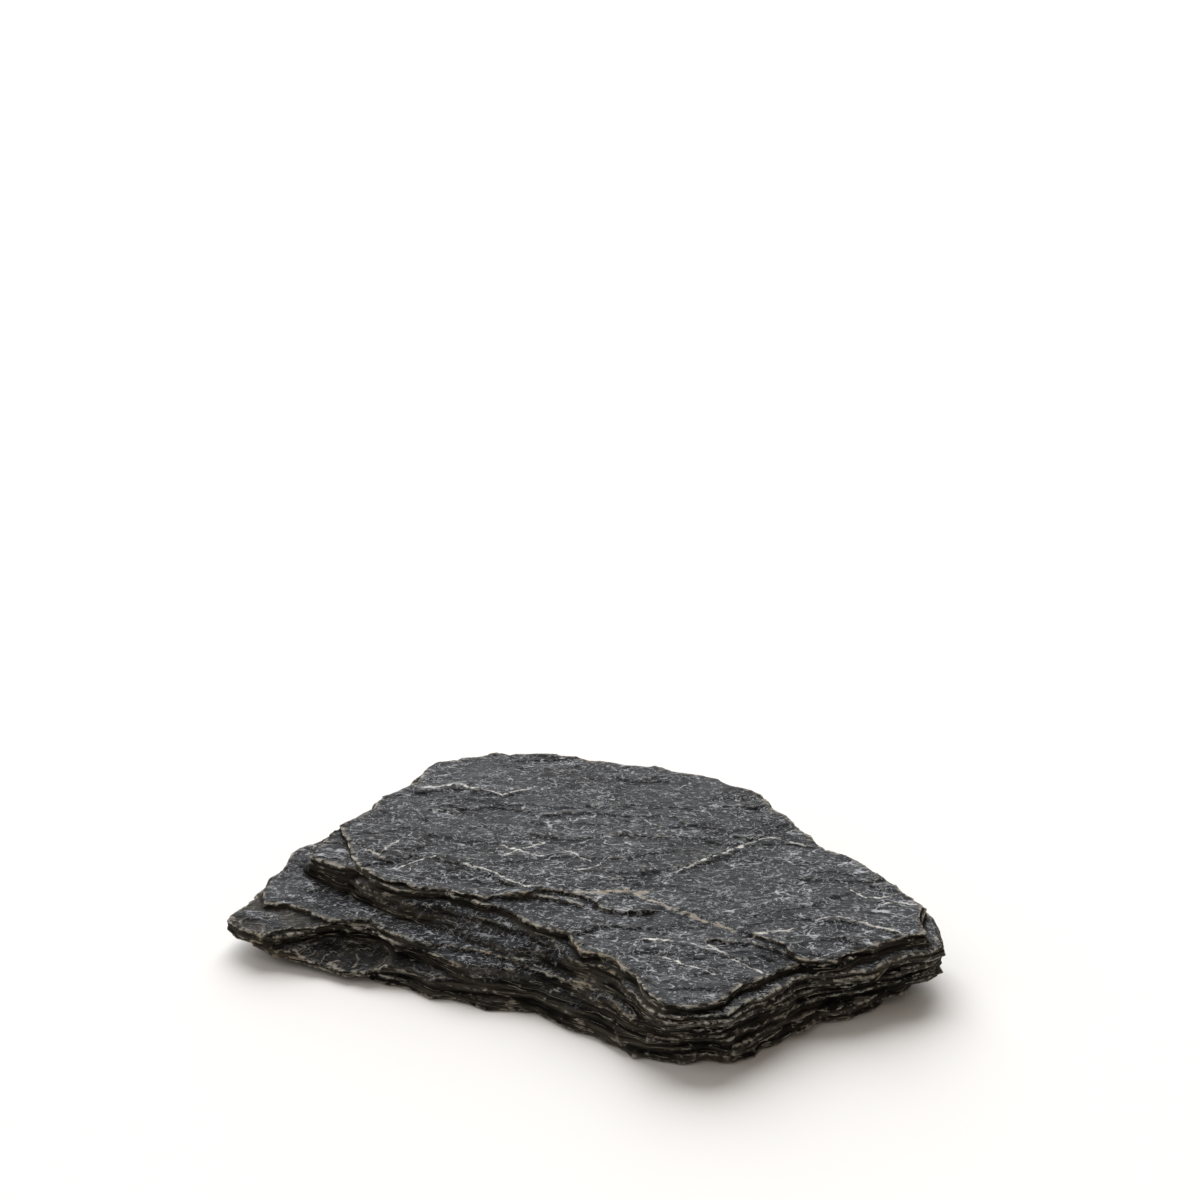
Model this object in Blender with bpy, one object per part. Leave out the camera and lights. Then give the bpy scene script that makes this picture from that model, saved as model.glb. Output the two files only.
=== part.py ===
"""A slab of split slate, lying on its flat underside.

The slab is one stone. It is modelled as slate forms and breaks: a stack of thin sheets, each with its own
ragged outline, grown together into one solid. The origin is on the ground under the middle of the slab,
+X runs along its length, +Y points away from the broken front edge and +Z is up.
Outlines are in millimetres, seen from above, and run anticlockwise from the left end of the slab.
"""

import math
import random
from dataclasses import dataclass

import bmesh
import bpy
from mathutils import Vector, noise

MM = 0.001
NAME = "slate_slab"

# The slab's own shape
POINT_SPACING = 7.6  # mm between the points of a ragged outline
RAGGEDNESS = 0.16  # how far an edge wanders, as a share of the length of its straight stretch
WANDER_LIMIT = 1.5  # mm, the most that one break in an edge stands in or out
EDGE_LEAN = 0.5  # mm that the lower rim of a sheet stands out past its upper rim
LEAN_CHANGE = 1.6  # mm that the lean grows or shrinks by along the edge
LEAN_LENGTH = 15.0  # mm along the edge from one lean to the next
SEED = 11  # sets where the edges break
SHEET_OVERLAP = 1.1  # mm that each sheet runs into the one below it
SHEET_SETBACK = 0.9  # mm, on average, that a sheet stands back from the one above it in the same ledge
MERGE_DISTANCE = 0.02 * MM

# The back of the slab: every sheet follows this line, moved in by its own amount
BACK_EDGE = (
    (101, -21), (93, -8), (77, 8), (71, 20), (63, 35), (57, 46), (45, 56), (26, 64), (4, 70),
    (-14, 74), (-35, 75), (-54, 68.5), (-59, 61), (-64, 50), (-72, 42),
)
MIDDLE = Vector((5, -10))  # mm, the point that the back edge moves in towards


@dataclass(frozen=True)
class Ledge:
    """A step in the broken edge: the sheets of slate that share one outline.

    front runs from the left end of the back edge, round the front, to the right end of the back edge.
    """

    name: str
    top: float  # mm above the ground, at the middle of the slab
    bottom: float
    sheets: int
    back_inset: float  # mm
    tilt: tuple  # degrees about X and about Y
    front: tuple


LEDGES = (
    Ledge("top_flake", 20.4, 19.0, 1, 0.6, (-0.5, 0.3), (
        (-77, 28), (-84, 18), (-82, 11), (-78, 0), (-75, -8), (-66, -19), (-46, -23), (-33, -30),
        (-17, -26), (-4, -27), (5, -36), (12, -38), (24, -35), (33, -40), (45, -48), (56, -56), (62, -59),
        (66, -66), (77, -67), (84, -61.5), (94, -56.5), (107, -52.5), (106, -40), (108, -33),
    )),
    Ledge("top_plate", 19.2, 16.6, 1, 0.0, (-0.5, 0.3), (
        (-77, 28), (-84, 18), (-92, -1), (-82, -7.5), (-75, -9), (-66, -20.5), (-46, -24), (-38, -29.5),
        (-29, -33), (-21, -41), (-12, -48), (-6, -50), (-2, -61), (8, -66), (16, -78), (23, -91),
        (37, -91.5), (45, -84), (53, -77), (62, -69), (66, -66.5), (77, -67.5), (84, -62), (94, -57),
        (108, -53), (107, -40), (109, -33),
    )),
    Ledge("shoulder", 16.8, 14.4, 1, 1.5, (-0.4, 0.2), (
        (-79, 26), (-87, 15), (-92.5, 0), (-84, -7), (-77, -10), (-69, -20), (-58, -27), (-46, -30),
        (-39, -34), (-31, -38), (-23, -44), (-14, -50), (-8, -53), (-4, -62), (6, -68), (14, -80),
        (20, -91), (24, -95), (43, -94), (47, -89), (53, -84), (60, -77), (67, -70), (78, -69),
        (88, -67), (95, -61), (103, -58), (112.5, -53.5), (110.5, -42), (108, -29),
    )),
    Ledge("block_foot", 14.4, 12.2, 1, 3.0, (-0.2, 0.1), (
        (-80, 27), (-90, 14), (-95, 1), (-86.5, -6), (-78, -11), (-71, -17), (-64, -26), (-53, -32),
        (-40, -38), (-30, -45), (-23, -51), (-14, -54), (-10, -58), (-3, -63), (5, -71), (12, -76),
        (17, -87), (23, -92), (40, -91), (50, -83), (60, -74), (67, -67), (80, -66), (92, -60),
        (106, -54), (110, -42), (106, -28),
    )),
    Ledge("terrace", 12.5, 10.8, 1, 1.0, (0.4, -0.3), (
        (-84, 32), (-95, 21), (-101, 14.5), (-106, 0), (-107, -9), (-106, -18), (-99, -18.5), (-91, -23),
        (-84, -28), (-70, -28), (-66, -34), (-59, -39), (-51, -43.5), (-40, -46), (-28, -52), (-18, -58),
        (-9, -62), (-2, -67), (6, -75), (14, -86), (21, -90), (38, -90), (47, -84), (57, -75), (66, -68),
        (80, -66), (93, -61), (107, -54), (111, -44), (106, -28),
    )),
    Ledge("tip", 11.2, 8.6, 1, 4.0, (0.3, -0.5), (
        (-82, 30), (-93, 20), (-102, 11), (-107, 2), (-110, -9), (-113, -17), (-117, -26.5), (-109, -33),
        (-105, -35), (-99, -32), (-87, -30), (-70, -31), (-64, -38), (-55, -43), (-48, -48), (-43, -52),
        (-35, -54), (-26, -57), (-16, -60), (-8, -64), (-1, -70), (7, -77), (14, -87), (22, -91),
        (42, -91), (48, -87), (56, -80), (65, -71), (77, -67), (90, -62), (101, -57), (112, -50),
        (108, -36), (104, -26),
    )),
    Ledge("ramp", 8.8, 5.9, 2, 2.0, (0.2, 0.3), (
        (-80, 26), (-91, 14), (-100, 2), (-108, -12), (-116, -23.5), (-110, -29), (-106, -34),
        (-98, -34), (-80, -29), (-66, -34), (-56, -42), (-47, -49), (-41, -54.5), (-30, -59), (-22, -61.5),
        (-15, -63), (-8, -68), (-1, -73), (7, -80), (14, -88), (22, -92), (43, -92), (49, -87.5),
        (61, -79), (66, -72), (82, -65), (93, -60), (111, -50.5), (106, -36), (98, -24),
    )),
    Ledge("lower_plate", 6.1, 3.0, 2, 5.0, (0.1, 0.1), (
        (-74, 24), (-86, 8), (-97, -8), (-106, -20), (-110, -27), (-104, -34), (-96, -38), (-82, -44),
        (-66, -46.5), (-56, -50), (-49, -55), (-37, -58), (-24, -61.5), (-16, -63.5), (-9, -70), (-2, -75),
        (6, -81), (12, -88), (18, -91), (26, -92), (37, -91), (44, -93), (50, -89), (66, -77), (72, -72),
        (82, -69), (92, -62), (101, -54), (102, -40), (95, -24),
    )),
    Ledge("base", 3.2, 1.4, 1, 8.0, (0.0, 0.0), (
        (-66, 26), (-76, 12), (-86, -4), (-92, -18), (-90, -32), (-80, -42.5), (-69, -47.5), (-56, -52),
        (-49, -57), (-37, -59.5), (-23, -64), (-16, -64.5), (-10, -71), (-3, -76.5), (5, -82), (14, -91),
        (22, -91.5), (29, -93), (43, -94), (48, -91), (53, -85), (61, -80.5), (67, -75.5), (72, -72),
        (82, -70), (94, -61), (96, -50), (92, -34), (85, -20),
    )),
)

# The underside: a flat cleavage face with a chipped rim
FOOT_TOP = 1.5
FOOT_OUTLINE = (
    (-56, 20), (-70, 4), (-80, -12), (-82, -28), (-66, -42), (-46, -50), (-22, -58), (-6, -68), (12, -84),
    (30, -88), (46, -86), (60, -76), (76, -64), (88, -52), (84, -34), (74, -10), (62, 14), (48, 34),
    (26, 48), (2, 54), (-24, 58), (-42, 50), (-50, 36),
)

# Scoop-shaped scars where a chip has sprung off the broken edge: middle and half sizes, mm
SCARS = (
    ("left_scar", (-78, -41, 7.4), (17, 12.0, 4.4)),
    ("front_scar", (11, -96, 5.2), (9, 10, 3.3)),
)

SLATE_GREY = (0.040, 0.042, 0.047, 1.0)
SLATE_ROUGHNESS = 0.62


def clear_scene():
    """Removes whatever objects the file holds."""
    for item in list(bpy.data.objects):
        bpy.data.objects.remove(item, do_unlink=True)


def slate_material():
    """Dark blue-grey slate with a satin, slightly uneven face."""
    material = bpy.data.materials.new("slate")
    material.use_nodes = True
    shader = material.node_tree.nodes["Principled BSDF"]
    shader.inputs["Base Color"].default_value = SLATE_GREY
    shader.inputs["Roughness"].default_value = SLATE_ROUGHNESS
    shader.inputs["Metallic"].default_value = 0.0
    return material


def closed_outline(front, back_inset):
    """The whole outline of a ledge: its own front and the common back edge, moved in."""
    back = []
    for x, y in BACK_EDGE:
        point = Vector((x, y))
        back.append(point + (MIDDLE - point).normalized() * back_inset)
    return [Vector(point) for point in front] + back


def ragged(start, end, chance):
    """Points from start up to but not including end, broken in or out as split slate breaks."""
    length = (end - start).length
    if length < POINT_SPACING:
        return [start]
    along = 0.5 + chance.uniform(-0.14, 0.14)
    side = Vector((end.y - start.y, start.x - end.x)) / length
    wander = min(WANDER_LIMIT, RAGGEDNESS * length)
    middle = start.lerp(end, along) + side * chance.uniform(-wander, wander)
    return ragged(start, middle, chance) + ragged(middle, end, chance)


def ragged_outline(corners, inset, chance):
    """A ragged closed outline through the corners, each moved in by up to twice the inset."""
    moved = []
    for corner in corners:
        inward = (MIDDLE - corner).normalized()
        moved.append(corner + inward * inset * chance.uniform(0.0, 2.0))
    points = []
    for start, end in zip(moved, moved[1:] + moved[:1]):
        points += ragged(start, end, chance)
    return points


def sheet_mesh(name, outline, thickness, chance):
    """A closed sheet of slate from its outline, with its lower rim leaning in and out."""
    curve = bpy.data.curves.new(name, "CURVE")
    curve.dimensions = "2D"
    curve.fill_mode = "BOTH"
    curve.extrude = thickness / 2 * MM
    spline = curve.splines.new("POLY")
    spline.points.add(len(outline) - 1)
    for point, corner in zip(spline.points, outline):
        point.co = (corner.x * MM, corner.y * MM, 0, 1)
    spline.use_cyclic_u = True
    flat = bpy.data.objects.new(name + "_outline", curve)
    bpy.context.scene.collection.objects.link(flat)
    evaluated = flat.evaluated_get(bpy.context.evaluated_depsgraph_get())
    mesh = bpy.data.meshes.new_from_object(evaluated)
    bpy.data.objects.remove(flat)

    shape = bmesh.new()
    shape.from_mesh(mesh)
    bmesh.ops.remove_doubles(shape, verts=shape.verts, dist=MERGE_DISTANCE)
    caps = [face for face in shape.faces if abs(face.normal.z) > 0.5]
    bmesh.ops.dissolve_faces(shape, faces=caps)
    middle = MIDDLE.to_3d() * MM
    place = chance.uniform(0.0, 100.0)
    for vertex in shape.verts:
        if vertex.co.z < 0:
            outward = (vertex.co.xy - middle.xy).normalized()
            spot = Vector((vertex.co.x, vertex.co.y, 0)) / (LEAN_LENGTH * MM)
            change = 2 * noise.noise(spot + Vector((0, 0, place))) * LEAN_CHANGE
            lean = (EDGE_LEAN + change) * MM
            vertex.co.x += outward.x * lean
            vertex.co.y += outward.y * lean
    bmesh.ops.recalc_face_normals(shape, faces=shape.faces)
    shape.to_mesh(mesh)
    shape.free()
    mesh.name = name
    return mesh


def add_object(name, mesh, collection, holder):
    """Links a mesh object that is placed by the holder."""
    item = bpy.data.objects.new(name, mesh)
    collection.objects.link(item)
    item.parent = holder
    return item


def as_tool(item):
    """Marks an object as one that only shapes the slab."""
    item.hide_render = True
    item.display_type = "WIRE"


def add_ledge(ledge, number, collection, holder):
    """Adds the sheets of one ledge, from its upper face down."""
    corners = closed_outline(ledge.front, ledge.back_inset)
    step = (ledge.top - ledge.bottom) / ledge.sheets
    for sheet in range(ledge.sheets):
        chance = random.Random(SEED + 100 * number + sheet)
        outline = ragged_outline(corners, SHEET_SETBACK * sheet, chance)
        thickness = step + SHEET_OVERLAP
        name = f"{ledge.name}_{sheet + 1}"
        item = add_object(name, sheet_mesh(name, outline, thickness, chance), collection, holder)
        item.location.z = (ledge.top - sheet * step - thickness / 2) * MM
        item.rotation_euler = (math.radians(ledge.tilt[0]), math.radians(ledge.tilt[1]), 0)
        as_tool(item)


def add_scar(name, middle, half_sizes, collection, holder):
    """Adds a scoop-shaped cutter for one scar."""
    shape = bmesh.new()
    bmesh.ops.create_uvsphere(shape, u_segments=14, v_segments=9, radius=1)
    bmesh.ops.scale(shape, vec=Vector(half_sizes) * MM, verts=shape.verts)
    mesh = bpy.data.meshes.new(name)
    shape.to_mesh(mesh)
    shape.free()
    item = add_object(name, mesh, collection, holder)
    item.location = Vector(middle) * MM
    as_tool(item)


def add_boolean(item, operation, collection):
    """Joins a whole collection to the item, or cuts it out of it."""
    modifier = item.modifiers.new(operation.title(), "BOOLEAN")
    modifier.operation = operation
    modifier.operand_type = "COLLECTION"
    modifier.collection = collection
    modifier.solver = "EXACT"


def centre_over_origin(item, holder):
    """Moves the holder so that the origin is under the middle of the finished slab."""
    bpy.context.view_layer.update()
    evaluated = item.evaluated_get(bpy.context.evaluated_depsgraph_get())
    corners = [evaluated.matrix_world @ vertex.co for vertex in evaluated.data.vertices]
    for axis in (0, 1):
        places = [corner[axis] for corner in corners]
        holder.location[axis] -= (min(places) + max(places)) / 2


def build():
    """Builds the slab from its sheets and scars."""
    clear_scene()
    slab_collection = bpy.data.collections.new(NAME)
    sheet_collection = bpy.data.collections.new("slate_sheets")
    scar_collection = bpy.data.collections.new("scar_cutters")
    for collection in (slab_collection, sheet_collection, scar_collection):
        bpy.context.scene.collection.children.link(collection)
    holder = bpy.data.objects.new("slab_holder", None)
    slab_collection.objects.link(holder)

    for number, ledge in enumerate(LEDGES):
        add_ledge(ledge, number, sheet_collection, holder)
    for name, middle, half_sizes in SCARS:
        add_scar(name, middle, half_sizes, scar_collection, holder)

    chance = random.Random(SEED + 100 * len(LEDGES))
    foot = ragged_outline([Vector(point) for point in FOOT_OUTLINE], 0.0, chance)
    slab = add_object(NAME, sheet_mesh(NAME, foot, FOOT_TOP, chance), slab_collection, holder)
    slab.location.z = FOOT_TOP / 2 * MM
    slab.data.materials.append(slate_material())
    add_boolean(slab, "UNION", sheet_collection)
    add_boolean(slab, "DIFFERENCE", scar_collection)
    centre_over_origin(slab, holder)


build()
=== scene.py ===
"""The finished look of a slab of split slate, in a plain pale studio.

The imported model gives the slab's solid: its outline, ledges and scars, at real size. This script opens
that solid's broken edge into fine beds, chips and wears it, lays thin flakes on its split faces, and
finishes it as riven slate. Lengths are in millimetres unless a name says otherwise; Blender's unit is
the metre.
"""

import itertools
import logging
import math
from dataclasses import dataclass, field

import bpy
import numpy as np
from mathutils import Euler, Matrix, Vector

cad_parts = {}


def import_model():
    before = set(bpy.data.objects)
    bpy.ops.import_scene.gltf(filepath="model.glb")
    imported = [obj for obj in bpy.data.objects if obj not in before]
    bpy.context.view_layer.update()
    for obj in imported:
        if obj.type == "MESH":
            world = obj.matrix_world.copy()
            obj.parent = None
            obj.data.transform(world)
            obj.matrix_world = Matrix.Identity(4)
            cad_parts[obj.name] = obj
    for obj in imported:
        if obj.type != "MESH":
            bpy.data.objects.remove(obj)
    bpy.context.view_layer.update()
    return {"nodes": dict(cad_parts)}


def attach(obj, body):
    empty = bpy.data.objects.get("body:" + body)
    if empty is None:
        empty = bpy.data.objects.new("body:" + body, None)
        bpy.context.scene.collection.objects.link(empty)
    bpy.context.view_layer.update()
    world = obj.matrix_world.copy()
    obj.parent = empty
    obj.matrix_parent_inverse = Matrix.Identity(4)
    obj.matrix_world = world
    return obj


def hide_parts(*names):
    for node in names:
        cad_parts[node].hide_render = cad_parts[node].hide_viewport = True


MM = 0.001
BODY = "root"
NODE = "slate_slab"

# A colour mix's sockets: its share, its lower and upper colours, and the mixed colour
SHARE, UNDER, OVER, MIXED = 0, 6, 7, 2
SMOOTH_STEP = {"interpolation_type": "SMOOTHSTEP"}

log = logging.getLogger("slate_slab")


def linear(hex_colour: str) -> tuple[float, float, float, float]:
    """Turns an sRGB hex colour into the linear values that a shader takes.

    Args:
        hex_colour: Six hex digits, with or without a leading #.

    Returns:
        Red, green, blue and an alpha of 1.
    """
    digits = hex_colour.lstrip("#")
    channels = []
    for start in (0, 2, 4):
        value = int(digits[start:start + 2], 16) / 255
        channels.append(value / 12.92 if value <= 0.04045 else ((value + 0.055) / 1.055) ** 2.4)
    return (*channels, 1.0)


def add_node(tree: bpy.types.NodeTree, kind: str, settings: dict | None = None,
             links: dict | None = None) -> bpy.types.Node:
    """Adds one node with its settings and its incoming links.

    Args:
        tree: The node tree that gets the node.
        kind: Blender's name for the node's type.
        settings: Values by name. A property of the node is set as such, and any other name or number
            is that of an input.
        links: Output sockets by the name or number of the input that they feed.

    Returns:
        The new node.
    """
    node = tree.nodes.new(kind)
    for name, value in (settings or {}).items():
        if isinstance(name, str) and hasattr(node, name):
            setattr(node, name, value)
        else:
            node.inputs[name].default_value = value
    for name, socket in (links or {}).items():
        tree.links.new(socket, node.inputs[name])
    return node


def select_only(item: bpy.types.Object) -> None:
    """Deselects everything, then selects and activates one object.

    Args:
        item: The object.
    """
    bpy.ops.object.select_all(action="DESELECT")
    item.select_set(True)
    bpy.context.view_layer.objects.active = item


def apply_modifier(item: bpy.types.Object, kind: str, **settings: object) -> None:
    """Adds a modifier to an object, sets it and applies it.

    Args:
        item: The object.
        kind: Blender's name for the modifier's type.
        **settings: The modifier's properties by name.
    """
    select_only(item)
    modifier = item.modifiers.new(kind.title(), kind)
    for name, value in settings.items():
        setattr(modifier, name, value)
    bpy.ops.object.modifier_apply(modifier=modifier.name)


def rise(low: float, high: float, values: np.ndarray) -> np.ndarray:
    """A smooth step.

    Args:
        low: Where the step starts.
        high: Where it ends.
        values: The values that go through it.

    Returns:
        0 for a value at or below low, 1 for one at or above high, and a smooth rise between them.
    """
    share = np.clip((values - low) / (high - low), 0.0, 1.0)
    return share * share * (3.0 - 2.0 * share)


def band(places: tuple[float, float, float, float], values: np.ndarray) -> np.ndarray:
    """A smooth band.

    Args:
        places: Where the band starts, is full, fades and ends.
        values: The values that go through it.

    Returns:
        1 for a value inside the band, 0 for one outside it, and smooth sides.
    """
    return rise(*places[:2], values) * (1.0 - rise(*places[2:], values))


class StoneChance:
    """Chance in space: smooth waves and broken chips, the same on every run."""

    def __init__(self, seed: int) -> None:
        """Draws the tables.

        Args:
            seed: Which tables are drawn.
        """
        chance = np.random.default_rng(seed)
        self.order = chance.permutation(256)
        ways = chance.normal(size=(256, 3))
        self.ways = ways / np.linalg.norm(ways, axis=1, keepdims=True)
        self.spots = chance.uniform(0.1, 0.9, size=(256, 3))
        self.levels = chance.uniform(-1.0, 1.0, 256)

    def draw(self, cells: np.ndarray) -> np.ndarray:
        """Draws one entry of the tables for each cell of space.

        Args:
            cells: Whole numbers along X, Y and Z, one row a cell.

        Returns:
            The number of an entry, from 0 to 255, for each row.
        """
        x, y, z = (cells & 255).T
        return self.order[(self.order[(self.order[x] + y) & 255] + z) & 255]

    def waves(self, points: np.ndarray, size: tuple[float, float, float], layers: int = 1) -> np.ndarray:
        """Smooth waves.

        Args:
            points: Places in millimetres, one row each.
            size: The length of a wave along X, Y and Z in millimetres.
            layers: How many layers there are, each half the size and height of the one before.

        Returns:
            One value for each point, mostly between -1 and 1.
        """
        total = np.zeros(len(points))
        place = points / np.array(size)
        height = 1.6
        for _ in range(layers):
            cells = np.floor(place).astype(np.int64)
            inside = place - cells
            fade = inside ** 3 * (inside * (6.0 * inside - 15.0) + 10.0)
            for corner in itertools.product((0, 1), repeat=3):
                weight = np.prod(np.where(corner, fade, 1.0 - fade), axis=1)
                slope = np.einsum("ij,ij->i", self.ways[self.draw(cells + corner)], inside - corner)
                total += height * weight * slope
            height *= 0.5
            place = place * 2.03 + 17.3
        return total

    def chips(self, points: np.ndarray, size: tuple[float, float, float]) -> tuple[np.ndarray, np.ndarray]:
        """Chips with sharp borders, as a hammer leaves.

        Args:
            points: Places in millimetres, one row each.
            size: The size of a chip along X, Y and Z in millimetres.

        Returns:
            A level from -1 to 1 for each point, the same all over a chip, and a tilt that runs from one
            side of the chip to the other.
        """
        place = points / np.array(size)
        cells = np.floor(place).astype(np.int64)
        nearest = np.full(len(points), np.inf)
        level = np.zeros(len(points))
        tilt = np.zeros(len(points))
        for step in itertools.product((-1, 0, 1), repeat=3):
            drawn = self.draw(cells + step)
            gap = place - (cells + step + self.spots[drawn])
            distance = np.einsum("ij,ij->i", gap, gap)
            closer = distance < nearest
            nearest[closer] = distance[closer]
            level[closer] = self.levels[drawn[closer]]
            tilt[closer] = np.einsum("ij,ij->i", gap[closer], self.ways[drawn[closer]])
        return level, tilt


@dataclass(frozen=True)
class Waves:
    """Smooth waves of one height.

    Attributes:
        height: About how high they are.
        size: The length of a wave along X, Y and Z.
        layers: How many layers there are, each half the size and height of the one before.
    """

    height: float
    size: tuple[float, float, float]
    layers: int = 1

    def at(self, points: np.ndarray, chance: StoneChance) -> np.ndarray:
        """Their heights at some points, one value for each, drawn from the given chance."""
        return self.height * chance.waves(points, self.size, self.layers)


@dataclass(frozen=True)
class Mark:
    """A kind of mark that the mesh carries as an attribute for the material: the rims, which take a painted
    highlight that is partly pale bruising, and the hollows, which take painted shade.

    Attributes:
        name: The attribute's name.
        rounds: How many rounds of smoothing the surface is compared with.
        way: 1 for what stands proud of the smoothed surface, -1 for what lies under it.
        edge: How far it does so where the mark starts and is full.
    """

    name: str
    rounds: int
    way: float
    edge: tuple[float, float]


@dataclass(frozen=True)
class Beds:
    """One scale of bedding in the broken edge.

    Attributes:
        thinnest: The thickness of the thinnest bed.
        thickest: The thickness of the thickest bed.
        reach: How far a bed stands out or lies back.
        run: How far along the edge a bed goes before it breaks back.
        undercut: How far the foot of a bed lies back under its upper rim.
    """

    thinnest: float
    thickest: float
    reach: float
    run: float
    undercut: float

    def floors(self, height: float, seed: int) -> np.ndarray:
        """The heights at which the beds part.

        Args:
            height: The height up to which there are beds.
            seed: Which heights are drawn.

        Returns:
            The heights, from below the ground up.
        """
        chance = np.random.default_rng(seed)
        count = int(2 * height / self.thinnest)
        return np.cumsum(chance.uniform(self.thinnest, self.thickest, count)) - self.thickest * 2


@dataclass(frozen=True)
class Flake:
    """A thin flake on the upper split face, with one sharp edge.

    Attributes:
        edge: The sharp edge seen from above, with the flake on its left side.
        step: The height of the edge.
        run: How far behind the edge the flake has thinned to nothing.
        taper: How much of its length each end of the edge tapers over, as a share.
        softness: How far to each side of its line the edge slopes.
    """

    edge: tuple[tuple[float, float], ...]
    step: float
    run: float
    taper: float = 0.12
    softness: float = 0.25

    def lift(self, places: np.ndarray) -> np.ndarray:
        """How much the flake adds to the face.

        Args:
            places: Places along X and Y in millimetres, one row each.

        Returns:
            The height in millimetres at each place.
        """
        nearest = np.full(len(places), np.inf)
        side = np.zeros(len(places))
        share = np.zeros(len(places))
        pairs = list(zip(self.edge, self.edge[1:]))
        for number, (start, end) in enumerate(pairs):
            way = np.subtract(end, start)
            gap = places - start
            along = gap @ way / (way @ way)
            held = np.clip(along, 0.0, 1.0)
            distance = np.hypot(*(gap - held[:, None] * way).T)
            closer = distance < nearest
            nearest[closer] = distance[closer]
            side[closer] = (way[0] * gap[closer, 1] - way[1] * gap[closer, 0])
            share[closer] = (number + held[closer]) / len(pairs)
        signed = np.where(side > 0.0, nearest, -nearest)
        ends = rise(0.0, self.taper, share) * rise(0.0, self.taper, 1.0 - share)
        edge = rise(-self.softness, self.softness, signed)
        return self.step * ends * edge * (1.0 - rise(0.0, self.run, signed))


FLAKES = (
    Flake(((36, -45), (54, -47), (67, -55)), 0.9, 9.0),
    Flake(((-26, -21), (-14, -18), (2, -25)), 1.2, 6.0),
    Flake(((-31, -6), (-22, -13), (-10, -16)), 0.5, 7.0),
    Flake(((-68, 6), (-62, 3), (-50, 6), (-45, 3)), 0.55, 8.0),
    Flake(((26, -9), (31, -3), (40, 3), (57, 15)), 0.4, 8.0),
    Flake(((76, -35), (88, -35), (101, -44)), 0.5, 8.0),
    Flake(((14, -42), (28, -47), (42, -52)), 0.45, 7.0),
    Flake(((-62, 52), (-45, 57), (-28, 49), (-20, 52)), 0.5, 8.0),
)


@dataclass(frozen=True)
class WornSteps:
    """Where steps have worn down to slopes.

    A band is four places: where wear starts, where it is full, where it fades and where it ends.

    Attributes:
        strength: How far a round of wear takes a fully worn point, from 0 to 1.
        rounds: How many rounds of wear there are.
        front: How far in front of a slanting line wear starts and is full.
        front_slant: How far that line comes forward for each millimetre to the right.
        plate: The band of heights under the upper plate.
        toe: The band of heights at the toe of the slab.
        toe_start: Where wear of the toe starts and is full along X.
        front_end: Where the worn front fades and ends along X.
        step_point: A point of the worn step on the upper face.
        step_slant: How far that step comes forward for each millimetre to the right.
        step_beside: How far beside the step its wear fades and ends.
        step_floor: The heights at which wear of the step starts and is full.
        step_along: The band of the step along X.
    """

    strength: float = 0.85
    rounds: int = 40
    front: tuple[float, float] = (9.0, 14.0)
    front_slant: float = 0.6
    plate: tuple[float, float, float, float] = (11.8, 12.8, 16.4, 17.6)
    toe: tuple[float, float, float, float] = (0.2, 1.5, 9.6, 11.2)
    toe_start: tuple[float, float] = (-62.0, -50.0)
    front_end: tuple[float, float] = (16.0, 30.0)
    step_point: tuple[float, float] = (17.0, -15.0)
    step_slant: float = 0.77
    step_beside: tuple[float, float] = (5.0, 8.0)
    step_floor: tuple[float, float] = (18.0, 18.8)
    step_along: tuple[float, float, float, float] = (14.0, 22.0, 46.0, 54.0)

    def amount(self, points: np.ndarray) -> np.ndarray:
        """Tells how worn the stone is.

        Args:
            points: Places in millimetres, one row each.

        Returns:
            How worn each place is, from 0 to 1.
        """
        x, y, z = points.T
        front = rise(*self.front, -(y + self.front_slant * x))
        toe = band(self.toe, z) * rise(*self.toe_start, x)
        slopes = front * np.maximum(band(self.plate, z), toe) * (1.0 - rise(*self.front_end, x))
        off = np.abs(y - self.step_point[1] + self.step_slant * (x - self.step_point[0]))
        step = rise(*self.step_floor, z) * (1.0 - rise(*self.step_beside, off)) * band(self.step_along, x)
        return np.maximum(slopes, step)


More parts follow.
